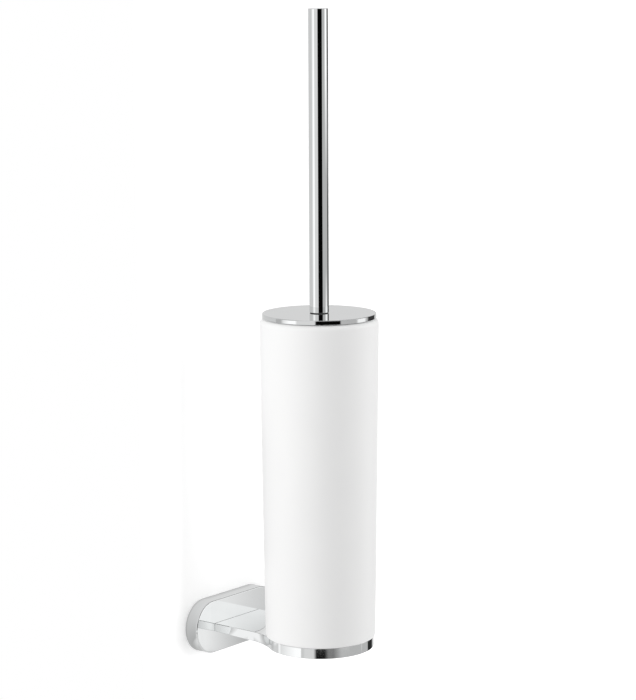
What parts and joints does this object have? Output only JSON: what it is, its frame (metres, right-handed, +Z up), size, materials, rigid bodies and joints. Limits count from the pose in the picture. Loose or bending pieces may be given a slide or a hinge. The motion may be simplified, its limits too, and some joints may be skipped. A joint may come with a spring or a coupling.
{
  "type": "wall-mounted toilet brush holder",
  "caption": "Wall bracket with an obround rosette, an arm and a ring that carries a satin glass tumbler, in which a toilet brush stands under a chrome lid and rod handle.",
  "frame": {"origin": "on the wall, at the centre of the rosette's back face, midway between the two wall screw holes", "axes": "+Z up, +X to the right seen from the front, +Y into the wall; the tumbler and brush stand on a vertical axis at x = 0, y = -0.091 m"},
  "size_m": [0.091, 0.1336, 0.4739],
  "materials": {
    "chrome": "polished chrome plate",
    "steel": "zinc-plated or plain stainless steel",
    "polished_steel": "polished stainless steel",
    "satin_glass": "opaque white glass, satin etched",
    "white_plastic": "moulded, satin",
    "bush_plastic": "moulded, soft satin",
    "black_nylon": "matt",
    "bristle_nylon": "nylon monofilament"
  },
  "bodies": {
    "bracket": {"wall_plate": "steel", "rosette": "chrome", "grub_screw": "steel", "support_arm": "chrome", "arm_screws": "steel", "seat_bush": "bush_plastic"},
    "tumbler": {"tumbler": "satin_glass"},
    "brush": {"lid_disc": "chrome", "lid_centring_cap": "white_plastic", "lid_washer": "steel", "lock_nut": "steel", "threaded_stud": "steel", "handle_washer": "black_nylon", "handle_insert": "steel", "handle_tube": "chrome", "handle_end_cap": "chrome", "stem_tube": "polished_steel", "stem_top_plug": "steel", "stem_lower_plug": "steel", "brush_core": "white_plastic", "bristles": "bristle_nylon"}
  },
  "joints": [
    {"name": "tumbler_lift", "type": "slide", "parent": "bracket", "child": "tumbler", "axis": [0, 0, 1], "range_m": [0, 0.04]},
    {"name": "brush_lift", "type": "slide", "parent": "tumbler", "child": "brush", "axis": [0, 0, 1], "range_m": [0, 0.24]}
  ]
}
